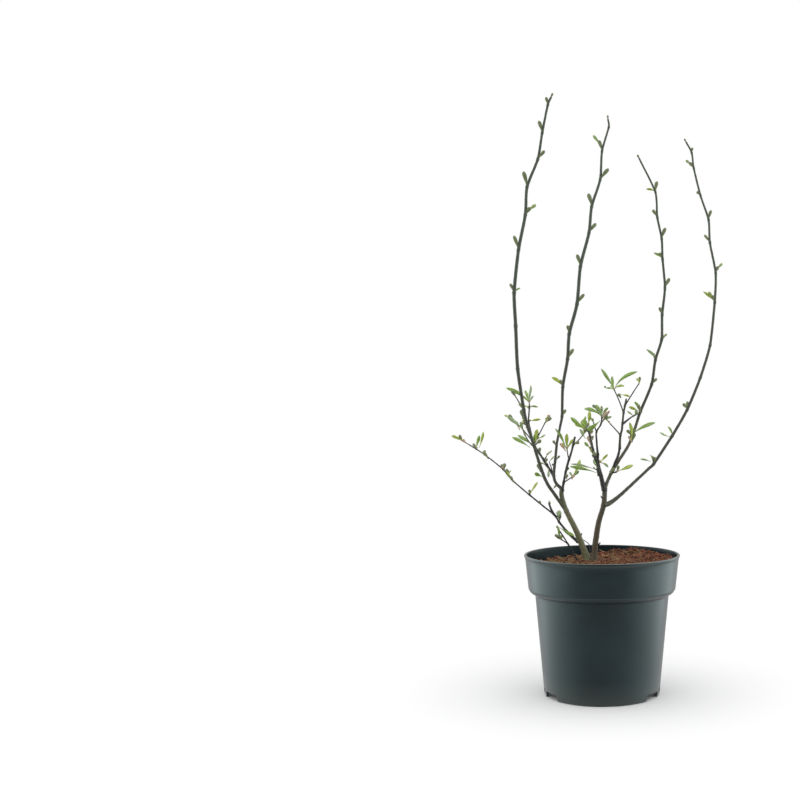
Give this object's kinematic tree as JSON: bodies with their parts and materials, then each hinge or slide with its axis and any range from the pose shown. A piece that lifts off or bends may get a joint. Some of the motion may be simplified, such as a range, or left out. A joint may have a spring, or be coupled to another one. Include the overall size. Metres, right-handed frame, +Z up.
{
  "type": "potted young star magnolia shrub",
  "caption": "Young deciduous shrub in a round plastic nursery pot, with forked stems, tall budded whips and short leafy twigs.",
  "frame": {"origin": "centre of the pot's flat underside", "axes": "+Z up along the pot's axis; +X to the viewer's right and -Y towards the viewer, as pictured"},
  "size_m": [0.3399, 0.19, 0.7148],
  "materials": {
    "pot_plastic": "dark grey-green moulded polypropylene with a satin sheen",
    "compost": "moist red-brown peat and coir compost",
    "stem_bark": "smooth grey-brown young bark with lenticels",
    "bough_bark": "dark brown-grey young bark",
    "whip_wood": "thin dark grey-green shoots with downy green buds",
    "young_leaves": "thin matt young leaves, fresh green",
    "dry_twig": "dead dark twig"
  },
  "bodies": {
    "root": {"pot": "pot_plastic", "compost": "compost", "stem_left": "stem_bark", "stem_right": "stem_bark", "bough_1_far_left": "bough_bark", "bough_2_inner_left": "bough_bark", "bough_3_inner_right": "bough_bark", "bough_4_far_right": "bough_bark", "branch_low_left": "bough_bark", "branch_left": "bough_bark", "branch_centre": "bough_bark", "branch_right": "bough_bark", "whip_1_far_left": "whip_wood", "whip_2_inner_left": "whip_wood", "whip_3_inner_right": "whip_wood", "whip_4_far_right": "whip_wood", "leaves_low_left": "young_leaves", "leaves_left": "young_leaves", "leaves_middle": "young_leaves", "leaves_centre": "young_leaves", "leaves_right": "young_leaves", "leaves_top_centre": "young_leaves", "spur_right_low": "young_leaves", "spur_right_high": "young_leaves", "dry_stick": "dry_twig"}
  },
  "joints": []
}
